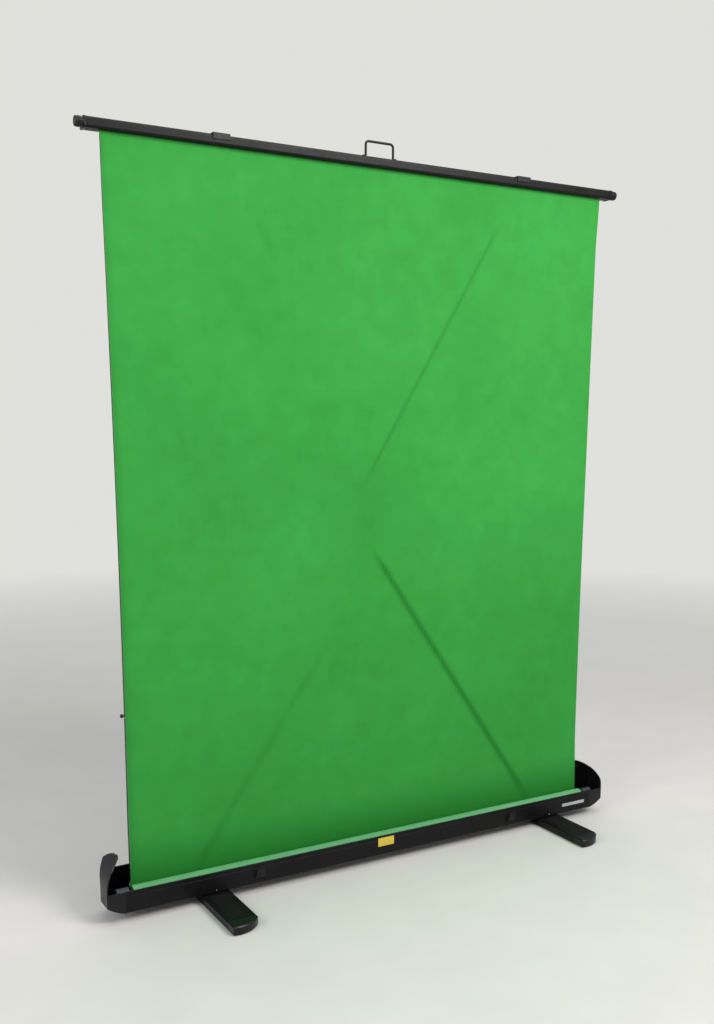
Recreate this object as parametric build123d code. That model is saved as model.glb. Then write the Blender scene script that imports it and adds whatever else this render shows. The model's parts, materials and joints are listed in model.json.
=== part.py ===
from build123d import *
from math import atan2, cos, degrees, radians, sin
import os

# A pull-up backdrop: a floor case holds a spring roller of green cloth and a folding X frame,
# which lifts a top bar. Millimetres, +Z up, +X to the right of a person facing the cloth, -Y to the front.
# Geometry is drawn about the case's centre line, and written with its origin at the middle of the footprint.

# Case
CASE_HALF = 813.0        # to the outer face of an end cap
TROUGH_HALF = 764.0      # the extrusion between the caps
FRONT, REAR = -54.0, 54.0
CASE_Z = 25.0            # underside of the case
FRONT_TOP = 83.0
REAR_TOP = 110.0
SKIN = 2.5
FIN_TOP = 161.0          # tip of an end cap's fin
JOINT = 0.3              # gap between separate pieces
SCREW_R, SCREW_HEAD_R, SCREW_HOLE_R = 2.0, 3.5, 2.1
CAP_SCREW_X, CAP_SCREW_Y = 757.0, (-30.0, 33.0)
CAP_RIBS = (-20.0, 6.0)
FRONT_SCREW_RISE = 8.0   # above the underside of the case

# Cloth and roller
CLOTH_HALF = 740.0
CLOTH_Y = -8.1           # back of the cloth, which leaves the roll's rear
CLOTH_T = 0.6
ROLL_Y, ROLL_Z, ROLL_R = -28.8, 65.5, 20.0
TUBE_R, TUBE_WALL = 15.0, 1.2
AXLE_R = 5.0

# Arms. Each side is a chain: base pivot, knee beyond the centre line, top pivot.
BASE_X, BASE_Z = 566.0, 62.0
KNEE_X = -90.0           # the right chain's knee
KNEE_RISE, TOP_RISE = 938.8, 1815.0
TOP_X = 450.0
ARM_H, ARM_T, ARM_WALL = 25.0, 8.5, 1.5
LAYER_0, LAYER_STEP = 9.0, 11.5    # four arm layers, front to back
PIN_R, RUN = 5.0, 0.05
TOP_PIN_R = 4.0
BRACKET_SHEET = 2.3
KNUCKLE = 34.0           # pivot to the tube's end
TOP_SLACK = 3.4          # room about the left top pivot

# Top bar
BAR_Z0, BAR_Z1 = 1876.0, 1900.5
BAR_Y0, BAR_Y1 = -22.0, 13.5
BAR_HALF = 772.0
STUB_END = 795.0

# Feet, latches
FOOT_X = (-521.0, 600.0)
FOOT_HALF_W = 40.0
FOOT_BOLT_R = 6.0
FOOT_FRONT, FOOT_BACK = -256.0, 209.0
PAD_T = 3.0
LATCH_X = (-396.0, 448.0)

FRAME_SHIFT = -(FOOT_FRONT + FOOT_BACK) / 2   # puts the origin at the middle of the footprint

os.makedirs("parts", exist_ok=True)


def save(name, *solids):
    """Write the solids of one node, moved to the part's own frame."""
    moved = [Pos(0, FRAME_SHIFT, 0) * s for s in solids]
    whole = moved[0] if len(moved) == 1 else Compound(children=moved)
    export_step(whole, f"parts/{name}.step")


def block(x0, x1, y0, y1, z0, z1):
    return Pos((x0 + x1) / 2, (y0 + y1) / 2, (z0 + z1) / 2) * Box(x1 - x0, y1 - y0, z1 - z0)


def rod_x(y, z, x0, x1, r):
    return Pos((x0 + x1) / 2, y, z) * Rot(0, 90, 0) * Cylinder(r, x1 - x0)


def rod_y(x, z, y0, y1, r):
    return Pos(x, (y0 + y1) / 2, z) * Rot(90, 0, 0) * Cylinder(r, y1 - y0)


def rod_z(x, y, z0, z1, r):
    return Pos(x, y, (z0 + z1) / 2) * Cylinder(r, z1 - z0)


def flip(shape):
    return mirror(shape, about=Plane.YZ)


def stay(shape):
    return shape


def prism_x(points, x0, x1):
    """A closed outline of (y, z) points, drawn along X."""
    face = make_face(Polyline(*[(x0, y, z) for y, z in points], close=True))
    return extrude(face, amount=x1 - x0, dir=(1, 0, 0))


def quarter(start, end, corner):
    """An arc from start to end that bulges towards the corner, as a quarter of an ellipse does."""
    pull = 0.41
    mid = tuple((a + b) / 2 + pull * (c - (a + b) / 2) for a, b, c in zip(start, end, corner))
    return ThreePointArc(start, mid, end)


def layer(n):
    """Front and back of arm layer n, 0 to 3."""
    mid = LAYER_0 + n * LAYER_STEP
    return mid - ARM_T / 2, mid + ARM_T / 2


# ---------------------------------------------------------------- case
def trough():
    lip = 2.0
    outline = [
        (FRONT + 3, CASE_Z), (REAR - 3, CASE_Z), (REAR, CASE_Z + 3), (REAR, REAR_TOP),
        (REAR - SKIN - lip, REAR_TOP), (REAR - SKIN - lip, REAR_TOP - lip), (REAR - SKIN, REAR_TOP - 2 * lip),
        (REAR - SKIN, CASE_Z + SKIN), (FRONT + SKIN, CASE_Z + SKIN), (FRONT + SKIN, FRONT_TOP - 2 * lip),
        (FRONT + SKIN + 1, FRONT_TOP - lip), (FRONT + SKIN + 1, FRONT_TOP - 1), (FRONT + SKIN, FRONT_TOP),
        (FRONT + 1, FRONT_TOP), (FRONT, FRONT_TOP - 1), (FRONT, FRONT_TOP - 11), (FRONT + 0.6, FRONT_TOP - 11.6),
        (FRONT + 0.6, FRONT_TOP - 12.6), (FRONT, FRONT_TOP - 13.2), (FRONT, CASE_Z + 3),
    ]
    body = prism_x(outline, -TROUGH_HALF, TROUGH_HALF)
    for x in FOOT_X:
        body -= rod_z(x, 0, CASE_Z - 1, CASE_Z + SKIN + 1, FOOT_BOLT_R + RUN)
        body -= rod_y(x, CASE_Z + FRONT_SCREW_RISE, FRONT - 1, FRONT + SKIN + 1, SCREW_HOLE_R)
    for x in (-CAP_SCREW_X, CAP_SCREW_X):
        for y in CAP_SCREW_Y:
            body -= rod_z(x, y, CASE_Z - 1, CASE_Z + SKIN + 1, SCREW_HOLE_R)
    return body


def cap_section(inset):
    """The cap seen from the front, X against Z: it slopes under, and bulges over to a leaning top."""
    x1, z0 = CASE_HALF - inset, CASE_Z + inset
    foot_z, bulge_z = z0 + 23, 85.0
    mid_x, mid_z, rise = 741.0, 85.0, 85.0 - inset
    lean = x1 - mid_x
    over = [(mid_x + lean * cos(radians(a)), mid_z + rise * sin(radians(a))) for a in (0, 32, 64)]
    top = (mid_x, mid_z + rise)
    lines = [
        Line((700, z0), (TROUGH_HALF, z0)),
        ThreePointArc((TROUGH_HALF, z0), (TROUGH_HALF + 27, z0 + 9.5), (x1, foot_z)),
        Line((x1, foot_z), (x1, bulge_z)),
        Spline(*over, top, tangents=[(0, 1), (-1, 0)]),
        Line(top, (700, top[1])),
        Line((700, top[1]), (700, z0)),
    ]
    face = Plane.XZ * make_face(lines)
    return extrude(face, amount=80, both=True)


def cap_plan(inset, front):
    """The cap seen from above, X against Y: square at the front, and a long round sweep to the rear."""
    x1, y1 = CASE_HALF - inset, REAR - inset
    sweep_x, sweep_y = 45.0 - inset, 68.0 - inset
    corner = (x1 - sweep_x, y1 - sweep_y)
    round_it = [(corner[0] + sweep_x * cos(a), corner[1] + sweep_y * sin(a)) for a in map(radians, (0, 30, 60))]
    lines = [
        Line((700, front), (x1, front)),
        Line((x1, front), round_it[0]),
        Spline(*round_it, (corner[0], y1), tangents=[(0, 1), (-1, 0)]),
        Line((corner[0], y1), (700, y1)),
        Line((700, y1), (700, front)),
    ]
    return extrude(make_face(lines), amount=FIN_TOP + 20)


def cap_side():
    """The cap seen from its end, Y against Z: the front edge rises, and sweeps back to the fin's tip."""
    knee, tip = (FRONT + 8, 128.0), (12.0, FIN_TOP)
    lines = [
        Line((FRONT, CASE_Z), (FRONT, 100)),
        ThreePointArc((FRONT, 100), (FRONT + 2, 115), knee),
        ThreePointArc(knee, (-31, 151), tip),
        ThreePointArc(tip, (38, 154), (REAR, 132)),
        Line((REAR, 132), (REAR, CASE_Z)),
        Line((REAR, CASE_Z), (FRONT, CASE_Z)),
    ]
    face = Plane.YZ * make_face(lines)
    return extrude(face, amount=CASE_HALF + 10)


def end_cap():
    """The moulded cap: a front wall as high as the case's, and a thin leaning shell that is open in front."""
    wall = 3.2
    x0 = TROUGH_HALF + JOINT
    outer = cap_section(0) & cap_plan(0, FRONT) & cap_side()
    outer &= block(x0, 900, -60, 60, 0, 170)
    low = cap_section(wall) & cap_plan(wall, FRONT + wall) & block(x0 - 5, 900, -60, 60, 0, FRONT_TOP)
    high = cap_section(wall) & cap_plan(wall, FRONT - 9) & block(x0 - 5, 900, -70, 60, FRONT_TOP - 1, 170)
    shell = outer - low - high
    inner_x = CASE_HALF - wall
    for y in CAP_RIBS:
        rib = block(inner_x - 9, inner_x + 1, y, y + 2, CASE_Z + 30, 118)
        shell += rib & outer
    shell += block(x0 + 22, inner_x - 9, 30, 40, CASE_Z + 9, 78)
    tongue = block(x0 - 15, x0 + 8, 20, 46, CASE_Z + SKIN + 0.1, CASE_Z + SKIN + 5.6)
    return shell + tongue - rod_z(CAP_SCREW_X, CAP_SCREW_Y[1], CASE_Z, CASE_Z + 20, SCREW_HOLE_R)


def cap_bumper():
    """The rubber knob inside the fin's tip."""
    return rod_x(14, 147, 761, 775.5, 4.0)


def axle_block():
    """The nylon block in the right cap that holds the roller's axle, and the tongue into the extrusion."""
    x0, x1 = TROUGH_HALF - 14, TROUGH_HALF + 19
    floor = CASE_Z + 11
    body = block(x0, x1, ROLL_Y - 20, ROLL_Y + 15, floor, ROLL_Z + 12)
    body += rod_x(ROLL_Y, ROLL_Z + 6, x0, x1, 12)
    body += block(x0 + 8, x1 - 6, ROLL_Y + 14, ROLL_Y + 34, floor, floor + 14)
    body -= rod_z(CAP_SCREW_X, CAP_SCREW_Y[0], CASE_Z, CASE_Z + 20, SCREW_HOLE_R)
    return body - rod_x(ROLL_Y, ROLL_Z, x0 - 1, x1 - 5, AXLE_R + 0.1)


def cap_screws():
    """Two screws at each end, up through the extrusion's floor: one in the axle block, one in the cap."""
    right = []
    for y in CAP_SCREW_Y:
        head = rod_z(CAP_SCREW_X, y, CASE_Z - 0.9, CASE_Z - 0.1, SCREW_HEAD_R)
        right.append(head + rod_z(CAP_SCREW_X, y, CASE_Z - 0.2, CASE_Z + 16, SCREW_R))
    return right + [flip(s) for s in right]


def front_screws():
    """The small screw in the front wall above each foot."""
    z = CASE_Z + FRONT_SCREW_RISE
    return [rod_y(x, z, FRONT - 1.6, FRONT - 0.1, SCREW_HEAD_R) + rod_y(x, z, FRONT - 0.2, FRONT + 8, SCREW_R)
            for x in FOOT_X]


def base_bracket(n):
    """A U-shaped steel bracket about arm layer n, on the case floor under the right base pivot."""
    y0, y1 = layer(n)
    floor = CASE_Z + SKIN + 0.1
    sheet, half = BRACKET_SHEET, 18.0
    body = block(BASE_X - half, BASE_X + half, y0 - 0.3 - sheet, y1 + 0.3 + sheet, floor, floor + sheet)
    for low in (y0 - 0.3 - sheet, y1 + 0.3):
        ear = block(BASE_X - half, BASE_X + half, low, low + sheet, floor, BASE_Z)
        body += ear + rod_y(BASE_X, BASE_Z, low, low + sheet, 13)
    body -= rod_y(BASE_X, BASE_Z, y0 - 5, y1 + 5, PIN_R)
    return body


def base_pin(n):
    y0, y1 = layer(n)
    sheet = BRACKET_SHEET
    pin = rod_y(BASE_X, BASE_Z, y0 - 0.3 - sheet, y1 + 0.3 + sheet, PIN_R)
    head = rod_y(BASE_X, BASE_Z, y0 - sheet - 1.5, y0 - sheet - 0.3, PIN_R + 1.5)
    return pin + head


# ---------------------------------------------------------------- roller
def roller_tube():
    tube = rod_x(ROLL_Y, ROLL_Z, -CLOTH_HALF - 3, CLOTH_HALF + 3, TUBE_R)
    return tube - rod_x(ROLL_Y, ROLL_Z, -CLOTH_HALF - 4, CLOTH_HALF + 4, TUBE_R - TUBE_WALL)


def roller_plug():
    """The right end's plug, with the bore that turns on the axle."""
    x1 = CLOTH_HALF + 3
    plug = rod_x(ROLL_Y, ROLL_Z, x1 - 30, x1, TUBE_R - TUBE_WALL - 0.05)
    plug += rod_x(ROLL_Y, ROLL_Z, x1 + 0.1, x1 + 3, TUBE_R + 2.5) + rod_x(ROLL_Y, ROLL_Z, x1 - 1, x1 + 1, 12)
    return plug - rod_x(ROLL_Y, ROLL_Z, x1 - 31, x1 + 4, AXLE_R + RUN)


def cloth_roll():
    roll = rod_x(ROLL_Y, ROLL_Z, -CLOTH_HALF, CLOTH_HALF, ROLL_R)
    return roll - rod_x(ROLL_Y, ROLL_Z, -CLOTH_HALF - 1, CLOTH_HALF + 1, TUBE_R + 0.02)


def axle(length):
    """The right axle: fixed in its block, and reaching into the roller."""
    end = TROUGH_HALF + 13.8
    return rod_x(ROLL_Y, ROLL_Z, end - length, end, AXLE_R)


def spring_core():
    """The long left axle: the lifting cloth winds its spring against it."""
    return flip(axle(330)) + rod_x(ROLL_Y, ROLL_Z, -TROUGH_HALF + 305, -TROUGH_HALF + 312, 8)


def roller_spring():
    """The torsion spring about the left axle, inside the tube."""
    turns, pitch, r, wire = 24, 7.5, 9.6, 1.1
    path = Helix(pitch=pitch, height=turns * pitch, radius=r)
    start = Plane(origin=path @ 0, z_dir=path % 0)
    coil = sweep(start * Circle(wire), path=path, is_frenet=True)
    return Pos(-TROUGH_HALF + 90, ROLL_Y, ROLL_Z) * Rot(0, 90, 0) * coil


# ---------------------------------------------------------------- arms, drawn for the right chain
def lower_line():
    return (BASE_X, BASE_Z), (KNEE_X, BASE_Z + KNEE_RISE)


def upper_line():
    return (KNEE_X, BASE_Z + KNEE_RISE), (TOP_X, BASE_Z + TOP_RISE)


def along(line):
    """A location at the first pivot, whose X runs to the second one in the XZ plane, and its length."""
    (x0, z0), (x1, z1) = line
    angle = degrees(atan2(z1 - z0, x1 - x0))
    length = ((x1 - x0) ** 2 + (z1 - z0) ** 2) ** 0.5
    return Pos(x0, 0, z0) * Rot(0, -angle, 0), length


def arm_tube(line, n):
    place, length = along(line)
    y0, y1 = layer(n)
    h = ARM_H / 2
    tube = block(KNUCKLE, length - KNUCKLE, y0, y1, -h, h)
    tube = fillet(tube.edges().filter_by(Axis.X), 1.4)
    bore = block(KNUCKLE - 1, length - KNUCKLE + 1, y0 + ARM_WALL, y1 - ARM_WALL, -h + ARM_WALL, h - ARM_WALL)
    return place * (tube - bore)


def knuckle(line, n, at_end, hole_r, disc_r=ARM_H / 2):
    """The solid end piece of an arm: a rounded plate with the pivot's hole and a tongue in the tube."""
    place, length = along(line)
    y0, y1 = layer(n)
    h = ARM_H / 2
    body = rod_y(0, 0, y0, y1, disc_r) + block(0, KNUCKLE - 0.1, y0, y1, -h, h)
    body += block(KNUCKLE - 1, KNUCKLE + 26, y0 + ARM_WALL + 0.1, y1 - ARM_WALL - 0.1,
                  -h + ARM_WALL + 0.1, h - ARM_WALL - 0.1)
    body -= rod_y(0, 0, y0 - 1, y1 + 1, hole_r)
    if at_end:
        body = Pos(length, 0, 0) * Rot(0, 180, 0) * body
    return place * body


def knee_pin(low, high):
    """The knee's pin through both arms, with a flat head and a push-on washer."""
    y0, y1 = layer(low)[0], layer(high)[1]
    x, z = upper_line()[0]
    pin = rod_y(x, z, y0 - 0.3, y1 + 0.3, PIN_R)
    return pin + rod_y(x, z, y0 - 1.4, y0 - 0.3, 10) + rod_y(x, z, y1 + 0.3, y1 + 1.4, 9)


GAS_DROP = 21.0          # the gas spring's line, below the arm's own
KNEE_DISC = 19.8         # the disc that the cable runs round
GAS_R, ROD_R, CABLE_R = 5.6, 3.0, 1.0
GAS_FROM, GAS_LEN = 560.0, 330.0


def gas_y():
    """The gas spring lies in the plane of the upper arm, so that its cable meets the knee's disc."""
    y0, y1 = layer(1)
    return (y0 + y1) / 2


def gas_cylinder():
    place, _ = along(lower_line())
    tube = rod_x(gas_y(), GAS_DROP, GAS_FROM, GAS_FROM + GAS_LEN, GAS_R)
    tube = chamfer(tube.edges(), 1.0)
    tube -= rod_x(gas_y(), GAS_DROP, GAS_FROM + 30, GAS_FROM + GAS_LEN + 1, ROD_R + RUN)
    return place * tube


def gas_rod():
    place, _ = along(lower_line())
    x1 = GAS_FROM + GAS_LEN + 60
    rod = rod_x(gas_y(), GAS_DROP, GAS_FROM + 120, x1, ROD_R) + rod_x(gas_y(), GAS_DROP, x1 - 14, x1, 4.6)
    return place * (rod - rod_x(gas_y(), GAS_DROP, x1 - 100, x1 + 1, CABLE_R + 0.15))


def gas_clamps():
    """Two saddles that hold the gas spring's body under the lower arm, open at the other chain's side."""
    place, _ = along(lower_line())
    arm_back = layer(0)[1]
    straps = []
    for x in (GAS_FROM + 15, GAS_FROM + GAS_LEN - 45):
        ring = rod_x(gas_y(), GAS_DROP, x, x + 22, GAS_R + 2.2)
        ring += block(x, x + 22, arm_back + 0.1, gas_y(), GAS_DROP - GAS_R - 2.2, GAS_DROP + GAS_R + 2.2)
        ring += block(x, x + 22, arm_back + 0.1, arm_back + 2.3, -9, GAS_DROP)
        ring -= rod_x(gas_y(), GAS_DROP, x - 1, x + 23, GAS_R + 0.02)
        straps.append(place * (ring & block(x, x + 22, 0, gas_y() + 3, -40, 60)))
    return straps


def knee_cable():
    """The cable from the gas spring's rod round the outside of the knee."""
    place, length = along(lower_line())
    wrap_r, wrap = GAS_DROP, 66.0
    y = gas_y()
    straight = rod_x(y, GAS_DROP, GAS_FROM + GAS_LEN + 5, length, CABLE_R)
    ring = Pos(length, y, 0) * Rot(90, 0, 0) * Torus(wrap_r, CABLE_R)
    wedge = block(0, 40, y - 3, y + 3, -0.01, 40)
    turned = wedge & (Rot(0, wrap - 90, 0) * block(0, 60, y - 3, y + 3, 0, 60))
    return place * (straight + (ring & (Pos(length, 0, 0) * turned)))


# ---------------------------------------------------------------- top bar
def top_bar():
    """The hollow bar, with a slot underneath that the cloth hangs from."""
    face = block(-BAR_HALF, BAR_HALF, BAR_Y0, BAR_Y1, BAR_Z0, BAR_Z1)
    long_edges = face.edges().filter_by(Axis.X)
    face = fillet(long_edges, 6.0)
    bore = block(-BAR_HALF - 1, BAR_HALF + 1, BAR_Y0 + 2, BAR_Y1 - 2, BAR_Z0 + 9, BAR_Z1 - 2)
    bore = fillet(bore.edges().filter_by(Axis.X), 3.0)
    slot = block(-BAR_HALF - 1, BAR_HALF + 1, CLOTH_Y - 2.4, CLOTH_Y + 1.8, BAR_Z0 - 1, BAR_Z0 + 6)
    slot += block(-BAR_HALF - 1, BAR_HALF + 1, CLOTH_Y - 5.4, CLOTH_Y + 4.8, BAR_Z0 + 2.5, BAR_Z0 + 7.5)
    return face - bore - slot


def cloth_spline():
    """The round strip in the cloth's top hem, which the bar's slot holds."""
    mid = CLOTH_Y - CLOTH_T / 2
    return rod_x(mid, BAR_Z0 + 5, -CLOTH_HALF + 4, CLOTH_HALF - 4, 2.2)


def bar_end():
    """The right end: a collar plate and a round stub that seats in the end cap."""
    mid_y, mid_z = BAR_Y0 + 11, (BAR_Z0 + BAR_Z1) / 2
    plate = block(BAR_HALF + 0.1, BAR_HALF + 4, BAR_Y0 - 0.8, BAR_Y1 + 0.8, BAR_Z0 - 0.8, BAR_Z1 + 0.8)
    plate = fillet(plate.edges().filter_by(Axis.X), 6.0)
    stub = rod_x(mid_y, mid_z, BAR_HALF + 3, STUB_END, 11.6)
    stub = chamfer(stub.edges().filter_by(Axis.X, reverse=True).sort_by(Axis.X)[-1], 1.5)
    ring = rod_x(mid_y, mid_z, STUB_END - 9, STUB_END - 7, 12.4)
    tongue = block(BAR_HALF - 24, BAR_HALF + 1, BAR_Y0 + 5, BAR_Y1 - 5, BAR_Z0 + 11, BAR_Z1 - 4)
    return plate + stub + ring + tongue


def arm_bracket(n):
    """The plate that wraps over the bar above the right top pivot, and its two ears behind the bar."""
    half, rise, sheet = 22.0, 2.8, 2.0
    x0, x1 = TOP_X - half, TOP_X + half
    y0, y1 = layer(n)
    pivot_z = BASE_Z + TOP_RISE
    ears = (y0 - 0.3 - sheet, y1 + 0.3)
    body = block(x0, x1, BAR_Y0 - 2.2, BAR_Y1 + 2.2, BAR_Z1 + 0.1, BAR_Z1 + rise)
    body += block(x0, x1, BAR_Y0 - 2.2, BAR_Y0 - 0.1, BAR_Z1 - 11, BAR_Z1 + rise)
    body += block(x0, x1, BAR_Y1 + 0.1, BAR_Y1 + 1.9, BAR_Z0 + 2, BAR_Z1 + rise)
    body += block(x0, x1, BAR_Y1 + 0.1, ears[1] + sheet, BAR_Z1 - 4.5, BAR_Z1 - 2.5)
    for low in ears:
        body += block(x0 + 6, x1 - 6, low, low + sheet, pivot_z, BAR_Z1 - 2.5)
        body += rod_y(TOP_X, pivot_z, low, low + sheet, 12)
    return body - rod_y(TOP_X, pivot_z, y0 - 4, y1 + 4, TOP_PIN_R)


def top_pin(n):
    y0, y1 = layer(n)
    pivot_z = BASE_Z + TOP_RISE
    pin = rod_y(TOP_X, pivot_z, y0 - 2.3, y1 + 2.3, TOP_PIN_R)
    return pin + rod_y(TOP_X, pivot_z, y1 + 2.3, y1 + 3.9, 6.5)


HANDLE_HALF, HANDLE_H, WIRE_R = 41.0, 41.0, 3.1
HANDLE_Y = 5.0
HANDLE_Z = BAR_Z1 + 3.6


def carry_handle():
    """The wire bail: two legs and a grip with rounded corners, its feet turned out into the clips."""
    h, top = HANDLE_HALF, HANDLE_Z + HANDLE_H - WIRE_R
    path = FilletPolyline(
        (-h - 8.6, HANDLE_Y, HANDLE_Z), (-h, HANDLE_Y, HANDLE_Z), (-h, HANDLE_Y, top),
        (h, HANDLE_Y, top), (h, HANDLE_Y, HANDLE_Z), (h + 8.6, HANDLE_Y, HANDLE_Z), radius=[3.6, 9, 9, 3.6])
    return sweep(Plane(origin=path @ 0, z_dir=path % 0) * Circle(WIRE_R), path=path)


def handle_clips():
    def clip(side):
        x0, x1 = sorted((side * (HANDLE_HALF + 4.6), side * (HANDLE_HALF + 9)))
        body = rod_x(HANDLE_Y, HANDLE_Z, x0, x1, 4.3)
        body += block(x0, x1, HANDLE_Y - 12, HANDLE_Y + 3, BAR_Z1 + 0.1, BAR_Z1 + 1.6)
        body += block(x0, x1, HANDLE_Y - 4.3, HANDLE_Y + 3, BAR_Z1 + 0.1, HANDLE_Z)
        body -= rod_x(HANDLE_Y, HANDLE_Z, x0 - 1, x1 + 1, WIRE_R + RUN)
        return body & block(x0, x1, HANDLE_Y - 13, HANDLE_Y + 12, BAR_Z1 + 0.1, BAR_Z1 + 20)
    return [clip(-1), clip(1)]


# ---------------------------------------------------------------- feet and latches
def foot(x):
    """A flat swivel foot. Its leading end is a lopsided arc, and its top edges are bevelled."""
    w = FOOT_HALF_W
    z0, z1 = PAD_T, CASE_Z - 1.2
    front, back = FOOT_FRONT + 36, FOOT_BACK - 30
    plan = make_face(Polyline((x - w, front), (x + w, front), (x + w, back), (x - w, back), close=True))
    body = extrude(Pos(0, 0, z0) * plan, amount=z1 - z0)
    body = chamfer(body.edges().filter_by(Axis.Y).group_by(Axis.Z)[-1], 3.0)
    body -= rod_z(x, 0, z0 - 1, z1 + 1, FOOT_BOLT_R + RUN)
    body -= rod_z(x, 0, z0 - 1, z0 + 8, 12)
    return body


def foot_tip(x, front):
    """The moulded end of a foot: the front one is a lopsided arc, the rear one is even."""
    w, z0, z1 = FOOT_HALF_W, PAD_T, CASE_Z - 1.2
    root = FOOT_FRONT + 36 - 0.2 if front else FOOT_BACK - 30 + 0.2
    if front:
        near, far = FOOT_FRONT, FOOT_FRONT + 32
        outline = [Line((x - w, root), (x - w, near + 1)),
                   ThreePointArc((x - w, near + 1), (x + 8, near + 5), (x + w, far)),
                   Line((x + w, far), (x + w, root)), Line((x + w, root), (x - w, root))]
    else:
        near, far = FOOT_BACK - 12, FOOT_BACK
        outline = [Line((x - w, root), (x - w, near)), ThreePointArc((x - w, near), (x, far), (x + w, near)),
                   Line((x + w, near), (x + w, root)), Line((x + w, root), (x - w, root))]
    body = extrude(Pos(0, 0, z0) * make_face(outline), amount=z1 - z0)
    top = body.faces().sort_by(Axis.Z)[-1]
    rim = [e for e in top.edges() if abs(e.center().Y - root) > 0.5]
    return chamfer(rim, 3.0)


def foot_pad(x, y0, y1):
    pad = block(x - FOOT_HALF_W + 8, x + FOOT_HALF_W - 8, y0, y1, 0, PAD_T - 0.1)
    return fillet(pad.edges().filter_by(Axis.Z), 5.0)


def foot_pivot(x):
    """The bolt that a foot swivels on, with its washer between the foot and the case."""
    bolt = rod_z(x, 0, PAD_T + 3.4, CASE_Z + SKIN + 4, FOOT_BOLT_R)
    bolt += rod_z(x, 0, PAD_T + 3.4, PAD_T + 7.6, 11)
    return bolt + rod_z(x, 0, CASE_Z + SKIN + 0.1, CASE_Z + SKIN + 4.5, 9)


def foot_washer(x):
    return rod_z(x, 0, CASE_Z - 1.1, CASE_Z - 0.1, 17) - rod_z(x, 0, CASE_Z - 2, CASE_Z + 1, 6.2)


LATCH_Y, LATCH_Z = FRONT - 4.7, 47.0    # the lever's hinge line


def latch_base(x):
    plate = block(x - 15, x + 15, FRONT - 2.1, FRONT - 0.1, LATCH_Z - 5, LATCH_Z + 22)
    for side in (-1, 1):
        ear = x + side * 13
        plate += block(ear - 1.5, ear + 1.5, FRONT - 7, FRONT - 1, LATCH_Z - 4.5, LATCH_Z + 4.5)
    return plate + rod_x(LATCH_Y, LATCH_Z, x - 14.5, x + 14.5, 1.2)


def latch_lever(x):
    half, height = 11.2, 21.0
    body = rod_x(LATCH_Y, LATCH_Z, x - half, x + half, 2.2)
    body += block(x - half, x + half, FRONT - 7.2, FRONT - 3, LATCH_Z, LATCH_Z + height)
    body += block(x - half, x + half, FRONT - 9, FRONT - 4, LATCH_Z + height - 3, LATCH_Z + height)
    return body - rod_x(LATCH_Y, LATCH_Z, x - half - 1, x + half + 1, 1.2 + RUN)


def build_case():
    save("case_trough", trough())
    right = end_cap()
    save("right_end_cap", right)
    save("left_end_cap", flip(right))
    save("case_screws", *cap_screws(), *front_screws())
    save("axle_blocks", axle_block(), flip(axle_block()))
    save("right_base_bracket", base_bracket(0))
    save("left_base_bracket", flip(base_bracket(3)))
    save("base_pins", base_pin(0), flip(base_pin(3)))
    save("right_roller_axle", axle(60))
    save("left_roller_axle", spring_core())
    save("cap_bumpers", cap_bumper(), flip(cap_bumper()))
    save("info_label", block(-26, 26, FRONT - 0.35, FRONT - 0.05, FRONT_TOP - 31, FRONT_TOP - 6))
    badge = block(652, 742, FRONT - 0.35, FRONT - 0.05, CASE_Z + 22, CASE_Z + 32)
    save("blank_badge", badge)


def build_roller():
    save("roller_tube", roller_tube())
    save("right_roller_plug", roller_plug())
    save("left_roller_plug", flip(roller_plug()))
    save("cloth_roll", cloth_roll())
    save("roller_spring", roller_spring())
    save("screen_cloth", block(-CLOTH_HALF, CLOTH_HALF, CLOTH_Y - CLOTH_T, CLOTH_Y, ROLL_Z, BAR_Z0 + 2.4))


MID_LAYERS = LAYER_0 + 1.5 * LAYER_STEP


def to_left(shape):
    """The right chain's piece as the left chain has it: turned over, into the other two layers."""
    return mirror(flip(shape), about=Plane.XZ.offset(-MID_LAYERS))


def build_chain(side):
    """One side's arms, the lower in layer 0 and the upper in layer 1, or the left ones in 3 and 2."""
    turn = to_left if side == "left" else stay

    def place(name, *solids):
        save(f"{side}_{name}", *[turn(s) for s in solids])

    lower, upper = lower_line(), upper_line()
    top_hole = TOP_PIN_R + (TOP_SLACK if side == "left" else RUN)
    place("lower_arm", arm_tube(lower, 0))
    place("lower_knuckles", knuckle(lower, 0, False, PIN_R + RUN), knuckle(lower, 0, True, PIN_R))
    place("upper_arm", arm_tube(upper, 1))
    knee = knuckle(upper, 1, False, PIN_R + RUN, KNEE_DISC)
    place("upper_knuckles", knee, knuckle(upper, 1, True, top_hole))
    place("knee_pin", knee_pin(0, 1))
    place("gas_cylinder", gas_cylinder())
    place("gas_rod", gas_rod())
    place("gas_clamps", *gas_clamps())
    place("knee_cable", knee_cable())


def build_bar():
    save("top_bar", top_bar())
    save("cloth_spline", cloth_spline())
    right = bar_end()
    save("right_bar_end", right)
    save("left_bar_end", flip(right))
    save("carry_handle", carry_handle())
    save("handle_clips", *handle_clips())
    for side, n, turn in (("right", 1, stay), ("left", 2, flip)):
        save(f"{side}_arm_bracket", turn(arm_bracket(n)))
        save(f"{side}_top_pin", turn(top_pin(n)))


def build_feet():
    for side, x in zip(("left", "right"), FOOT_X):
        save(f"{side}_foot", foot(x))
        save(f"{side}_foot_tips", foot_tip(x, True), foot_tip(x, False))
        pads = [foot_pad(x, FOOT_FRONT + 44, FOOT_FRONT + 104), foot_pad(x, FOOT_BACK - 98, FOOT_BACK - 38)]
        save(f"{side}_foot_pads", *pads)
    save("foot_pivots", *[foot_pivot(x) for x in FOOT_X])
    save("foot_washers", *[foot_washer(x) for x in FOOT_X])


def build_latches():
    for side, x in zip(("left", "right"), LATCH_X):
        save(f"{side}_latch_base", latch_base(x))
        save(f"{side}_latch_lever", latch_lever(x))


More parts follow.
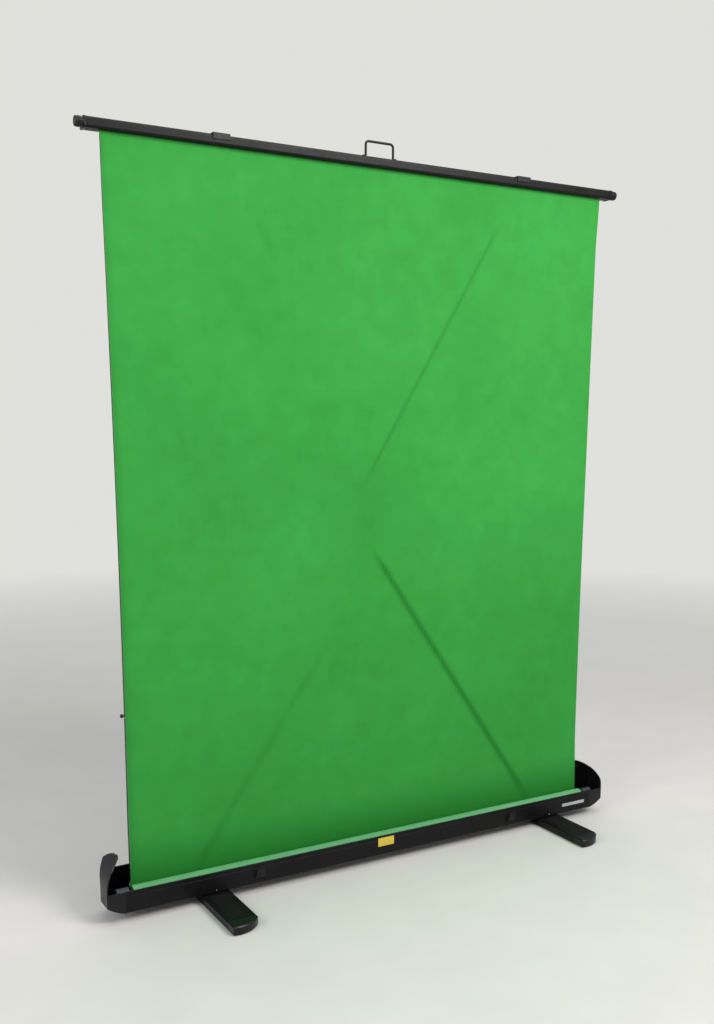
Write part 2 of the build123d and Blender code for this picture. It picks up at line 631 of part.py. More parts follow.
build_case()
build_roller()
build_chain("right")
build_chain("left")
build_bar()
build_feet()
build_latches()
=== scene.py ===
"""The looks of a pull-up backdrop screen: cloth, wound roll, small fittings, finishes, light and camera.

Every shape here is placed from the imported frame, in metres: +Z is up, +X is to the right of a person who
faces the cloth, and -Y is towards that person.
"""
import json
import logging
import math
from collections.abc import Mapping, Sequence
from dataclasses import dataclass, field
from enum import Enum
from functools import cache
from typing import Any, ClassVar

import bmesh
import bpy
import numpy as np
from mathutils import Matrix, Vector


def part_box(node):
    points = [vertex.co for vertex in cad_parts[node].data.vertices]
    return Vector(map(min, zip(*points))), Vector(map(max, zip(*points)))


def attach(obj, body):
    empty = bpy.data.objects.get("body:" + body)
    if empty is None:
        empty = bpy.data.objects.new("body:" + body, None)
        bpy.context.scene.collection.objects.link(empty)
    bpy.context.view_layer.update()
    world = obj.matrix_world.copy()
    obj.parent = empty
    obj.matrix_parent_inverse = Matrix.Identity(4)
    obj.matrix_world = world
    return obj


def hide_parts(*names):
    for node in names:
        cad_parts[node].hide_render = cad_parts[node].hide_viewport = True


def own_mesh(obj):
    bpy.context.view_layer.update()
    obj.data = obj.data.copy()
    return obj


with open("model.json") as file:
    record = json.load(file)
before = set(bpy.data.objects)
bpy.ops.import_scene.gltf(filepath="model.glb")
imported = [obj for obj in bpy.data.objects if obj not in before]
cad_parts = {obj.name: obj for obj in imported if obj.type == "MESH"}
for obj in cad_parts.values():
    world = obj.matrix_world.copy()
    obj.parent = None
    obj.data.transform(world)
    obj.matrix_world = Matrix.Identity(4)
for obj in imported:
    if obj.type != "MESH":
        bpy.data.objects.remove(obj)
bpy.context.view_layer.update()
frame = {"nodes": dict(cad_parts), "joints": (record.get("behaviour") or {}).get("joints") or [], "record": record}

LOG = logging.getLogger("backdrop")
MM = 0.001

Colour = tuple[float, float, float]
Socket = bpy.types.NodeSocket


# ---- node trees
class Wiring:
    """A node tree, with short calls that add nodes and join their sockets."""

    def __init__(self, tree: bpy.types.NodeTree) -> None:
        """Keep the tree that the calls add to."""
        self.tree = tree

    def put(self, socket: Socket, value: Any) -> None:
        """Join value to the socket if it is another socket, or else set it as the socket's own value."""
        if isinstance(value, Socket):
            self.tree.links.new(value, socket)
        elif isinstance(value, tuple) and socket.type == "RGBA" and len(value) == 3:
            socket.default_value = (*value, 1.0)
        else:
            socket.default_value = value

    def add(self, kind: str, values: Mapping[Any, Any] | None = None, **settings: Any) -> bpy.types.Node:
        """Add one node.

        Args:
            kind: the node's type name.
            values: what each input holds or is joined to, by the input's name or number.
            **settings: the node's own properties.

        Returns:
            The new node.
        """
        node = self.tree.nodes.new(kind)
        for key, value in settings.items():
            setattr(node, key, value)
        for key, value in (values or {}).items():
            self.put(node.inputs[key], value)
        return node

    def maths(self, operation: str, *terms: Any, clamp: bool = False) -> Socket:
        """Return the result of a Math node over the terms."""
        terms = dict(enumerate(terms))
        return self.add("ShaderNodeMath", terms, operation=operation, use_clamp=clamp).outputs[0]

    def mix(self, share: Any, first: Any, second: Any) -> Socket:
        """Return a colour that goes from first to second as share goes from 0 to 1."""
        node = self.add("ShaderNodeMix", data_type="RGBA")
        colours = [s for s in node.inputs if s.type == "RGBA"]
        for socket, value in zip((node.inputs[0], *colours), (share, first, second)):
            self.put(socket, value)
        return next(s for s in node.outputs if s.type == "RGBA")

    def span(self, value: Any, low: float, high: float, to_low: float = 0.0, to_high: float = 1.0) -> Socket:
        """Return value carried from low..high to to_low..to_high, and held there."""
        values = {"Value": value, "From Min": low, "From Max": high, "To Min": to_low, "To Max": to_high}
        return self.add("ShaderNodeMapRange", values).outputs[0]

    def noise(self, place: Any, scale: Any, detail: float = 3.0) -> Socket:
        """Return a noise value at that place, scale times finer than a metre."""
        values = {"Vector": place, "Scale": scale, "Detail": detail}
        return self.add("ShaderNodeTexNoise", values).outputs[0]

    def object_place(self, stretch: tuple[float, float, float] = (1.0, 1.0, 1.0)) -> Socket:
        """Return the Object coordinates, stretched by a Mapping node."""
        place = self.add("ShaderNodeTexCoord").outputs["Object"]
        return self.add("ShaderNodeMapping", {"Vector": place, "Scale": stretch}).outputs[0]


class Effect:
    """A shader node group for one thing that a surface shows. Each kind of effect wires its own."""

    title: ClassVar[str] = ""
    takes: ClassVar[dict[str, Any]] = {}
    gives: ClassVar[dict[str, str]] = {}

    @classmethod
    @cache
    def tree(cls) -> bpy.types.NodeTree:
        """Return the effect's node group, which is built once and then shared."""
        tree = bpy.data.node_groups.new(cls.title, "ShaderNodeTree")
        for name, value in cls.takes.items():
            kind = "NodeSocketColor" if isinstance(value, tuple) else "NodeSocketFloat"
            socket = tree.interface.new_socket(name=name, in_out="INPUT", socket_type=kind)
            socket.default_value = (*value, 1.0) if isinstance(value, tuple) else value
        for name, kind in cls.gives.items():
            tree.interface.new_socket(name=name, in_out="OUTPUT", socket_type=kind)
        wiring = Wiring(tree)
        cls.wire(wiring, wiring.add("NodeGroupInput").outputs, wiring.add("NodeGroupOutput").inputs)
        return tree

    @classmethod
    def wire(cls, w: Wiring, given: Any, wanted: Any) -> None:
        """Fill the group in between its given inputs and its wanted outputs."""
        raise NotImplementedError

    @classmethod
    def use(cls, w: Wiring, **values: Any) -> Any:
        """Place the effect in a material with its own values, and return its outputs."""
        node = w.add("ShaderNodeGroup", node_tree=cls.tree())
        for name, value in values.items():
            w.put(node.inputs[name], value)
        return node.outputs


class Mottle(Effect):
    """Broad, cloudy variation between two tones."""

    title = "mottle"
    takes = {"Scale": 20.0, "Dark": (0.0, 0.0, 0.0), "Light": (1.0, 1.0, 1.0)}
    gives = {"Colour": "NodeSocketColor", "Amount": "NodeSocketFloat"}

    @classmethod
    def wire(cls, w: Wiring, given: Any, wanted: Any) -> None:
        """Mix broad and fine noise into one amount, and the two tones by it."""
        place = w.object_place()
        fine = w.noise(place, w.maths("MULTIPLY", given["Scale"], 9.0), 2.0)
        both = w.maths("MULTIPLY_ADD", fine, 0.4, w.maths("MULTIPLY", w.noise(place, given["Scale"]), 0.6))
        amount = w.span(both, 0.34, 0.66)
        w.put(wanted["Amount"], amount)
        w.put(wanted["Colour"], w.mix(amount, given["Dark"], given["Light"]))


class Pebble(Effect):
    """The fine pebbled grain of moulded plastic, powder coat and rubber."""

    title = "pebble grain"
    takes = {"Size": 0.4 * MM}
    gives = {"Height": "NodeSocketFloat"}

    @classmethod
    def wire(cls, w: Wiring, given: Any, wanted: Any) -> None:
        """Soften a cell pattern with noise of twice its size."""
        place = w.object_place()
        scale = w.maths("DIVIDE", 1.0, given["Size"])
        cells = w.add("ShaderNodeTexVoronoi", {"Vector": place, "Scale": scale}, feature="SMOOTH_F1")
        clouds = w.noise(place, w.maths("MULTIPLY", scale, 0.5), 2.0)
        soft = w.maths("MULTIPLY", clouds, 0.4)
        w.put(wanted["Height"], w.maths("MULTIPLY_ADD", cells.outputs[0], 0.6, soft))


class DieLines(Effect):
    """The long faint lines that an extrusion's die draws along X."""

    title = "die lines"
    takes = {"Size": 0.5 * MM}
    gives = {"Height": "NodeSocketFloat"}

    @classmethod
    def wire(cls, w: Wiring, given: Any, wanted: Any) -> None:
        """Stretch noise along X, and add a little fine matt texture."""
        scale = w.maths("DIVIDE", 1.0, given["Size"])
        lines = w.noise(w.object_place((0.004, 1.0, 1.0)), scale, 2.0)
        matt = w.noise(w.object_place(), w.maths("MULTIPLY", scale, 2.0), 1.0)
        w.put(wanted["Height"], w.maths("MULTIPLY_ADD", matt, 0.3, w.maths("MULTIPLY", lines, 0.7)))


class Brushing(Effect):
    """The cross-hatched polish marks on plated steel."""

    title = "polish marks"
    takes = {"Size": 0.3 * MM}
    gives = {"Height": "NodeSocketFloat"}

    @classmethod
    def wire(cls, w: Wiring, given: Any, wanted: Any) -> None:
        """Add noise stretched along Y to noise stretched along Z."""
        scale = w.maths("DIVIDE", 1.0, given["Size"])
        along = w.noise(w.object_place((1.0, 0.05, 1.0)), scale, 1.0)
        across = w.noise(w.object_place((1.0, 1.0, 0.08)), scale, 1.0)
        w.put(wanted["Height"], w.maths("ADD", along, across))


class DustFall(Effect):
    """Thin dust, which lies on faces that look up."""

    title = "dust fall"
    takes = {"Amount": 0.1}
    gives = {"Mask": "NodeSocketFloat"}

    @classmethod
    def wire(cls, w: Wiring, given: Any, wanted: Any) -> None:
        """Multiply how far a face looks up by a patchy noise."""
        normal = w.add("ShaderNodeNewGeometry").outputs["Normal"]
        up = w.add("ShaderNodeSeparateXYZ", {"Vector": normal}).outputs["Z"]
        patches = w.span(w.noise(w.object_place(), 35.0, 4.0), 0.35, 0.75, 0.3, 1.0)
        lying = w.maths("MULTIPLY", w.span(up, 0.3, 1.0), patches)
        w.put(wanted["Mask"], w.maths("MULTIPLY", lying, given["Amount"], clamp=True))


class EdgeWearAndHighlight(Effect):
    """Rubbed edges and a painted edge highlight: a broken lighter line where a surface turns sharply."""

    title = "edge wear"
    takes = {"Radius": 0.8 * MM, "Amount": 0.3}
    gives = {"Mask": "NodeSocketFloat"}

    @classmethod
    def wire(cls, w: Wiring, given: Any, wanted: Any) -> None:
        """Compare the normal of a softened edge with the plain one."""
        soft = w.add("ShaderNodeBevel", {"Radius": given["Radius"]}, samples=4).outputs[0]
        plain = w.add("ShaderNodeNewGeometry").outputs["Normal"]
        alike = w.add("ShaderNodeVectorMath", {0: soft, 1: plain}, operation="DOT_PRODUCT").outputs["Value"]
        edge = w.span(alike, 0.97, 0.75)
        broken = w.span(w.noise(w.object_place(), 160.0, 4.0), 0.42, 0.68)
        rubbed_and_lit = w.maths("MULTIPLY", edge, broken)
        w.put(wanted["Mask"], w.maths("MULTIPLY", rubbed_and_lit, given["Amount"], clamp=True))


class Weave(Effect):
    """A close plain weave, drawn over a map whose units are metres of cloth."""

    title = "plain weave"
    takes = {"Pitch": 0.6 * MM}
    gives = {"Height": "NodeSocketFloat", "Tone": "NodeSocketFloat"}

    @classmethod
    def wire(cls, w: Wiring, given: Any, wanted: Any) -> None:
        """Let the two threads pass over and under, and vary them along their length."""
        cloth = w.add("ShaderNodeUVMap", uv_map="cloth").outputs[0]
        parts = w.add("ShaderNodeSeparateXYZ", {"Vector": cloth}).outputs
        turn = w.maths("DIVIDE", math.pi, given["Pitch"])
        warp = w.maths("SINE", w.maths("MULTIPLY", parts["X"], turn))
        weft = w.maths("SINE", w.maths("MULTIPLY", parts["Y"], turn))
        w.put(wanted["Height"], w.maths("MULTIPLY_ADD", w.maths("MULTIPLY", warp, weft), 0.5, 0.5))
        slubs = [w.noise(w.add("ShaderNodeMapping", {"Vector": cloth, "Scale": s}).outputs[0], 260.0, 2.0)
                 for s in ((1.0, 0.03, 1.0), (0.03, 1.0, 1.0))]
        w.put(wanted["Tone"], w.span(w.maths("ADD", *slubs), 0.7, 1.3))


# ---- finishes
class Texture(Enum):
    """The relief that a finish may have."""

    PEBBLE = Pebble
    DIE_LINES = DieLines
    BRUSHED = Brushing


@dataclass(frozen=True)
class Finish:
    """One finish of a hard piece: its tones, its gloss and its relief."""

    slot: str
    dark: Colour
    light: Colour
    # the lighter tone of rubbed edges and of painted edge highlights
    worn_and_lit: Colour
    roughness: float
    spread: float = 0.12
    metallic: float = 0.0
    specular: float = 0.5
    texture: Texture = Texture.PEBBLE
    relief_size: float = 0.5 * MM
    relief_height: float = 0.02 * MM
    mottle_scale: float = 14.0
    dust: float = 0.06
    wear_and_highlight: float = 0.25
    edge: float = 0.7 * MM

    DUST_TONE: ClassVar[Colour] = (0.30, 0.29, 0.27)

    def build(self) -> bpy.types.Material:
        """Return the finish as a material."""
        material = bpy.data.materials.new(self.slot)
        material.use_nodes = True
        w = Wiring(material.node_tree)
        shader = material.node_tree.nodes["Principled BSDF"]
        tone = Mottle.use(w, Scale=self.mottle_scale, Dark=self.dark, Light=self.light)
        dust = DustFall.use(w, Amount=self.dust)["Mask"]
        # wear and painted highlight: sharp edges are lightened towards that tone
        wear_and_highlight = EdgeWearAndHighlight.use(w, Radius=self.edge, Amount=self.wear_and_highlight)["Mask"]
        dusted = w.mix(dust, tone["Colour"], self.DUST_TONE)
        w.put(shader.inputs["Base Color"], w.mix(wear_and_highlight, dusted, self.worn_and_lit))
        rough = w.maths("MULTIPLY_ADD", tone["Amount"], self.spread, self.roughness - self.spread / 2)
        w.put(shader.inputs["Roughness"], w.maths("MULTIPLY_ADD", dust, 0.6, rough, clamp=True))
        height = self.texture.value.use(w, Size=self.relief_size)["Height"]
        soft = w.add("ShaderNodeBevel", {"Radius": self.edge}, samples=4).outputs[0]
        bump = w.add("ShaderNodeBump", {"Height": height, "Distance": self.relief_height, "Normal": soft})
        w.put(shader.inputs["Normal"], bump.outputs[0])
        shader.inputs["Metallic"].default_value = self.metallic
        shader.inputs["Specular IOR Level"].default_value = self.specular
        return material


HARD_FINISHES = (
    Finish("black_aluminium", (0.003, 0.0029, 0.0032), (0.0065, 0.0063, 0.007), (0.07, 0.07, 0.075), 0.38,
           texture=Texture.DIE_LINES, relief_height=0.012 * MM, wear_and_highlight=0.12, specular=0.15, dust=0.008),
    Finish("black_plastic", (0.003, 0.003, 0.0036), (0.008, 0.008, 0.0095), (0.04, 0.04, 0.045), 0.34,
           relief_size=0.7 * MM, relief_height=0.02 * MM, wear_and_highlight=0.12, specular=0.26, dust=0.015),
    Finish("grey_nylon", (0.028, 0.03, 0.035), (0.055, 0.058, 0.066), (0.12, 0.12, 0.13), 0.48,
           relief_height=0.03 * MM, specular=0.25, dust=0.03),
    Finish("black_steel", (0.004, 0.004, 0.0045), (0.0085, 0.0085, 0.0095), (0.1, 0.1, 0.095), 0.42,
           relief_size=0.9 * MM, relief_height=0.035 * MM, wear_and_highlight=0.2, specular=0.24, dust=0.015),
    Finish("bright_steel", (0.36, 0.37, 0.39), (0.5, 0.5, 0.51), (0.66, 0.66, 0.67), 0.3,
           metallic=1.0, texture=Texture.BRUSHED, relief_height=0.01 * MM, dust=0.03),
    Finish("black_rubber", (0.005,) * 3, (0.011,) * 3, (0.03,) * 3, 0.72,
           relief_height=0.04 * MM, specular=0.2, dust=0.02),
    Finish("yellow_label", (0.6, 0.42, 0.035), (0.72, 0.54, 0.07), (0.8, 0.74, 0.55), 0.34,
           relief_size=2 * MM, relief_height=0.01 * MM, wear_and_highlight=0.5, dust=0.02),
    Finish("pale_badge", (0.34, 0.35, 0.37), (0.46, 0.47, 0.5), (0.62, 0.62, 0.64), 0.35,
           relief_height=0.01 * MM, dust=0.02),
)


@dataclass(frozen=True)
class ClothFinish:
    """The woven polyester: green in front, black behind as painted shade, with a cut edge painted pale as a
    highlight.
    """

    slot: str = "green_cloth"
    dark: Colour = (0.029, 0.262, 0.036)
    light: Colour = (0.039, 0.322, 0.054)
    # painted shade: the dark green that the face is mixed towards where the painted-shade attribute is high
    painted_shade_tone: Colour = (0.012, 0.160, 0.018)
    # painted shade: the black back stands in for the shaded back of the curled edges, with a slight green tint of
    # painted reflection
    shaded_back_tone: Colour = (0.010, 0.014, 0.009)
    # painted highlight: the pale tone of the cut edge
    lit_cut_edge: Colour = (0.24, 0.36, 0.25)

    def face(self) -> bpy.types.Material:
        """Return the green face, darkened towards the painted shade tone where the painted-shade attribute is
        high.
        """
        material, w, shader = self._start(self.slot)
        weave = Weave.use(w, Pitch=0.62 * MM)
        tone = Mottle.use(w, Scale=2.4, Dark=self.dark, Light=self.light)
        threads = w.mix(w.maths("MULTIPLY", weave["Tone"], 0.35), tone["Colour"], self.light)
        pressed = w.add("ShaderNodeAttribute", attribute_name="pressed").outputs["Fac"]
        w.put(shader.inputs["Base Color"], w.mix(pressed, threads, self.painted_shade_tone))
        w.put(shader.inputs["Roughness"], w.span(weave["Tone"], 0.0, 1.0, 0.74, 0.84))
        self._relief(w, shader, weave["Height"], 0.05 * MM)
        shader.inputs["Sheen Weight"].default_value = 0.04
        shader.inputs["Sheen Roughness"].default_value = 0.5
        shader.inputs["Specular IOR Level"].default_value = 0.10
        return material

    def back(self) -> bpy.types.Material:
        """Return the black back: painted shade, smooth, over the same weave."""
        material, w, shader = self._start("cloth_backing")
        weave = Weave.use(w, Pitch=0.62 * MM)
        light = tuple(2.2 * c for c in self.shaded_back_tone)
        tone = Mottle.use(w, Scale=5.0, Dark=self.shaded_back_tone, Light=light)
        w.put(shader.inputs["Base Color"], tone["Colour"])
        w.put(shader.inputs["Roughness"], w.span(tone["Amount"], 0.0, 1.0, 0.5, 0.66))
        self._relief(w, shader, weave["Height"], 0.03 * MM)
        return material

    def rim(self) -> bpy.types.Material:
        """Return the cut edge, painted pale as a highlight where the edge catches the light."""
        material, w, shader = self._start("cloth_edge")
        dark = tuple(0.6 * c for c in self.lit_cut_edge)
        tone = Mottle.use(w, Scale=300.0, Dark=dark, Light=self.lit_cut_edge)
        w.put(shader.inputs["Base Color"], tone["Colour"])
        w.put(shader.inputs["Roughness"], w.span(tone["Amount"], 0.0, 1.0, 0.8, 0.95))
        return material

    @staticmethod
    def _start(name: str) -> tuple[bpy.types.Material, Wiring, bpy.types.Node]:
        """Return a new material, its wiring and its shader."""
        material = bpy.data.materials.new(name)
        material.use_nodes = True
        return material, Wiring(material.node_tree), material.node_tree.nodes["Principled BSDF"]

    @staticmethod
    def _relief(w: Wiring, shader: bpy.types.Node, height: Socket, distance: float) -> None:
        """Raise the surface by height times distance, as a bump."""
        bump = w.add("ShaderNodeBump", {"Height": height, "Distance": distance, "Strength": 0.6})
        w.put(shader.inputs["Normal"], bump.outputs[0])


class FinishShop:
    """Every material, built once and handed out by name."""

    def __init__(self) -> None:
        """Build the hard finishes and the cloth's three."""
        self.made = {finish.slot: finish.build() for finish in HARD_FINISHES}
        cloth = ClothFinish()
        # painted light: a paler copy of the green cloth for the roll, lighter as if lit from above
        rolled = ClothFinish("rolled_cloth", (0.085, 0.300, 0.120), (0.125, 0.370, 0.165))
        self.made["rolled_cloth"] = rolled.face()
        self.made |= {"green_cloth": cloth.face(), "cloth_backing": cloth.back(), "cloth_edge": cloth.rim()}

    def __getitem__(self, name: str) -> bpy.types.Material:
        """Return the material of that name."""
        return self.made[name]

    def dress_cad(self) -> None:
        """Give every CAD node the material of its slot in the record."""
        for part in frame["record"]["subparts"]:
            for slot in frame["nodes"][part["node"]].material_slots:
                slot.material = self.made[part["material_slot"]]


# ---- making meshes
def new_piece(name: str, vertices: Any, faces: Any, smooth: bool = True, edges: Any = ()) -> bpy.types.Object:
    """Make an object from vertices and faces, at the origin.

    Args:
        name: the piece's name.
        vertices: its points, in the row frame.
        faces: its faces, as lists of point numbers.
        smooth: whether its faces are shaded smooth.
        edges: loose edges, as pairs of point numbers.

    Returns:
        The object, linked to the scene.
    """
    mesh = bpy.data.meshes.new(name)
    mesh.from_pydata([tuple(map(float, v)) for v in vertices], edges, [tuple(map(int, f)) for f in faces])
    mesh.validate()
    mesh.shade_smooth() if smooth else mesh.shade_flat()
    made = bpy.data.objects.new(name, mesh)
    bpy.context.scene.collection.objects.link(made)
    return made


def grid_faces(rows: int, columns: int, wrap: bool = False) -> np.ndarray:
    """Return the quads of a grid of points that is stored row by row, closed across its columns if wrap."""
    across = columns if wrap else columns - 1
    row, column = np.meshgrid(np.arange(rows - 1), np.arange(across), indexing="ij")
    right = (column + 1) % columns
    low, high = row * columns, (row + 1) * columns
    corners = (low + column, low + right, high + right, high + column)
    return np.stack([c.ravel() for c in corners], axis=1)


def write_map(piece: bpy.types.Object, places: np.ndarray) -> None:
    """Give a piece the map named cloth, from one place in metres for each of its points."""
    loops = np.zeros(len(piece.data.loops), np.int32)
    piece.data.loops.foreach_get("vertex_index", loops)
    layer = piece.data.uv_layers.new(name="cloth")
    layer.data.foreach_set("uv", places[loops].astype(np.float32).ravel())


def ease(value: Any, low: float, high: float) -> Any:
    """Return a smooth step from 0 at low to 1 at high."""
    share = np.clip((value - low) / (high - low), 0.0, 1.0)
    return share * share * (3.0 - 2.0 * share)


def middle(node: str) -> Vector:
    """Return the middle of a CAD node's box."""
    low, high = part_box(node)
    return (low + high) / 2


def pivot(joint: str) -> Vector:
    """Return a joint's place at rest."""
    return Vector(next(j["pos_m"] for j in frame["joints"] if j["name"] == joint))


def bake_tree(
    piece: bpy.types.Object, tree: bpy.types.NodeTree, values: Mapping[str, Any]
) -> bpy.types.Object:
    """Run a geometry node tree over a guide piece, and keep its result as a plain mesh.

    Args:
        piece: the guide, whose mesh is replaced.
        tree: the geometry node tree.
        values: what each of its named inputs holds.

    Returns:
        The same piece, with the mesh that the tree made.
    """
    modifier = piece.modifiers.new(tree.name, "NODES")
    modifier.node_group = tree
    for socket in tree.interface.items_tree:
        if socket.in_out == "INPUT" and socket.name in values:
            modifier[socket.identifier] = values[socket.name]
    shown = piece.evaluated_get(bpy.context.evaluated_depsgraph_get())
    mesh = bpy.data.meshes.new_from_object(shown)
    piece.modifiers.remove(modifier)
    piece.data = mesh
    mesh.name = piece.name
    return piece


class RepeatTree:
    """A geometry node tree for what repeats: small parts on points, along a path or in a row."""

    @staticmethod
    def start(name: str, inputs: Mapping[str, str]) -> tuple[Wiring, Any, Any]:
        """Start a tree with those named inputs and one geometry output.

        Args:
            name: the tree's name.
            inputs: each input's name and socket type.

        Returns:
            The wiring, the group's given outputs and the socket that takes the finished geometry.
        """
        tree = bpy.data.node_groups.new(name, "GeometryNodeTree")
        for title, kind in inputs.items():
            tree.interface.new_socket(name=title, in_out="INPUT", socket_type=kind)
        tree.interface.new_socket(name="Geometry", in_out="OUTPUT", socket_type="NodeSocketGeometry")
        w = Wiring(tree)
        return w, w.add("NodeGroupInput").outputs, w.add("NodeGroupOutput").inputs["Geometry"]

    @staticmethod
    def end(w: Wiring, instances: Socket, finish: Socket, wanted: Socket) -> bpy.types.NodeTree:
        """Make the instances real, give them their finish, and return the tree."""
        real = w.add("GeometryNodeRealizeInstances", {"Geometry": instances}).outputs[0]
        dressed = w.add("GeometryNodeSetMaterial", {"Geometry": real, "Material": finish}).outputs[0]
        w.put(wanted, dressed)
        return w.tree

    @classmethod
    @cache
    def on_points(cls) -> bpy.types.NodeTree:
        """Return the tree that puts a part on every point, turned to the point's facing attribute."""
        w, given, wanted = cls.start("parts_on_points", {
            "Guide": "NodeSocketGeometry", "Part": "NodeSocketObject", "Size": "NodeSocketFloat",
            "Seed": "NodeSocketInt", "Finish": "NodeSocketMaterial"})
        part = w.add("GeometryNodeObjectInfo", {"Object": given["Part"]}).outputs["Geometry"]
        facing = w.add("GeometryNodeInputNamedAttribute", {"Name": "facing"}, data_type="FLOAT_VECTOR")
        turned = w.add("FunctionNodeAlignRotationToVector", {"Vector": facing.outputs["Attribute"]}, axis="Z")
        spin = w.add("FunctionNodeRandomValue", {"Seed": given["Seed"]}, data_type="FLOAT")
        for socket, limit in zip([s for s in spin.inputs if s.type == "VALUE"][:2], (0.0, 2 * math.pi)):
            socket.default_value = limit
        angle = next(s for s in spin.outputs if s.type == "VALUE")
        about = w.add("ShaderNodeCombineXYZ", {"Z": angle}).outputs[0]
        turn = w.add("FunctionNodeEulerToRotation", {0: about}).outputs[0]
        both = w.add("FunctionNodeRotateRotation", {"Rotation": turned.outputs[0], "Rotate By": turn},
                     rotation_space="LOCAL")
        points = w.add("GeometryNodeMeshToPoints", {"Mesh": given["Guide"]}).outputs[0]
        placed = w.add("GeometryNodeInstanceOnPoints", {
            "Points": points, "Instance": part, "Rotation": both.outputs[0],
            "Scale": given["Size"]}).outputs[0]
        return cls.end(w, placed, given["Finish"], wanted)

    @classmethod
    @cache
    def along_path(cls) -> bpy.types.NodeTree:
        """Return the tree that puts a part at every pitch of a path, with its X along the path."""
        w, given, wanted = cls.start("parts_along_path", {
            "Guide": "NodeSocketGeometry", "Part": "NodeSocketObject", "Pitch": "NodeSocketFloat",
            "Size": "NodeSocketFloat", "Finish": "NodeSocketMaterial"})
        part = w.add("GeometryNodeObjectInfo", {"Object": given["Part"]}).outputs["Geometry"]
        path = w.add("GeometryNodeMeshToCurve", {"Mesh": given["Guide"]}).outputs[0]
        spaced = w.add("GeometryNodeResampleCurve", {"Curve": path, "Length": given["Pitch"]}, mode="LENGTH")
        tangent = w.add("GeometryNodeInputTangent").outputs[0]
        turned = w.add("FunctionNodeAlignRotationToVector", {"Vector": tangent}, axis="X").outputs[0]
        placed = w.add("GeometryNodeInstanceOnPoints", {
            "Points": spaced.outputs[0], "Instance": part, "Rotation": turned,
            "Scale": given["Size"]}).outputs[0]
        return cls.end(w, placed, given["Finish"], wanted)


def guide_points(name: str, places: Sequence[Vector], facings: Sequence[Vector]) -> bpy.types.Object:
    """Make a guide of loose points, each with the way that its part faces."""
    guide = new_piece(name, places, [])
    facing = guide.data.attributes.new("facing", "FLOAT_VECTOR", "POINT")
    facing.data.foreach_set("vector", [c for f in facings for c in f])
    return guide


def guide_path(name: str, places: Sequence[Vector]) -> bpy.types.Object:
    """Make a guide of points joined in a line."""
    return new_piece(name, places, [], edges=[(i, i + 1) for i in range(len(places) - 1)])


class PartBox:
    """Makes the small parts that the trees repeat, and links them to no collection."""

    @staticmethod
    def keep(name: str, shape: bmesh.types.BMesh) -> bpy.types.Object:
        """Return a shape as an object with its normals outwards, and free the shape."""
        bmesh.ops.recalc_face_normals(shape, faces=shape.faces)
        mesh = bpy.data.meshes.new(name)
        shape.to_mesh(mesh)
        shape.free()
        mesh.shade_smooth()
        return bpy.data.objects.new(name, mesh)

    def turned(self, name: str, profile: Sequence[tuple[float, float]], steps: int = 24) -> bpy.types.Object:
        """Return a round part, made by turning a profile of radius and height about Z."""
        shape = bmesh.new()
        rings = [[shape.verts.new((r * math.cos(a), r * math.sin(a), z)) for a in
                  (2 * math.pi * i / steps for i in range(steps))] for r, z in profile]
        for low, high in zip(rings, rings[1:]):
            for i in range(steps):
                shape.faces.new((low[i], low[(i + 1) % steps], high[(i + 1) % steps], high[i]))
        shape.faces.new(rings[0])
        shape.faces.new(rings[-1])
        return self.keep(name, shape)

    def cross_screw(self) -> bpy.types.Object:
        """Return a domed screw head 2 units wide with a cross recess, its seat at Z = 0."""
        head = self.turned("screw_blank", [(0.30, -0.5), (0.30, 0.0), (1.0, 0.0), (1.0, 0.12), (0.93, 0.26),
                                           (0.75, 0.40), (0.45, 0.49), (0.12, 0.52)], 40)
        shape = bmesh.new()
        arm, half = 0.52, 0.13
        outline = [(arm, -half), (arm, half), (half, half), (half, arm), (-half, arm), (-half, half)]
        outline += [(-x, -y) for x, y in outline]
        top = [shape.verts.new((x, y, 0.9)) for x, y in outline]
        low = [shape.verts.new((0.5 * x, 0.5 * y, 0.16)) for x, y in outline]
        for i in range(len(outline)):
            j = (i + 1) % len(outline)
            shape.faces.new((top[i], top[j], low[j], low[i]))
        shape.faces.new(top)
        shape.faces.new(low)
        cutter = self.keep("cross_cutter", shape)
        for part in (head, cutter):
            bpy.context.scene.collection.objects.link(part)
        cut = head.modifiers.new("recess", "BOOLEAN")
        cut.object, cut.operation, cut.solver = cutter, "DIFFERENCE", "EXACT"
        mesh = bpy.data.meshes.new_from_object(head.evaluated_get(bpy.context.evaluated_depsgraph_get()))
        bpy.data.objects.remove(head)
        bpy.data.objects.remove(cutter)
        return bpy.data.objects.new("cross_screw", mesh)


# ---- the cloth
@dataclass
class ArmMark:
    """What one arm behind the cloth does to it: a long shallow ridge and a painted shadow line, dark where the arm
    blocks the light through the cloth.
    """

    start: Vector
    end: Vector
    rise: float
    width: float
    # how dark the painted shadow line along the arm is
    tone: float
    fade: tuple[float, float] = (0.0, 1.0)

    def measure(self, x: np.ndarray, z: np.ndarray) -> tuple[np.ndarray, np.ndarray]:
        """Return each point's signed distance to the right of the arm's line, and its share along it."""
        line = np.array([self.end.x - self.start.x, self.end.z - self.start.z])
        length = np.hypot(*line)
        along = ((x - self.start.x) * line[0] + (z - self.start.z) * line[1]) / length**2
        off = ((x - self.start.x) * line[1] - (z - self.start.z) * line[0]) / length
        return off, along

    def strength(self, along: np.ndarray) -> np.ndarray:
        """Return how strongly the mark shows along the arm, fading at both ends of its stretch."""
        low, high = self.fade
        return ease(along, low - 0.04, low + 0.06) * (1.0 - ease(along, high - 0.06, high + 0.04))


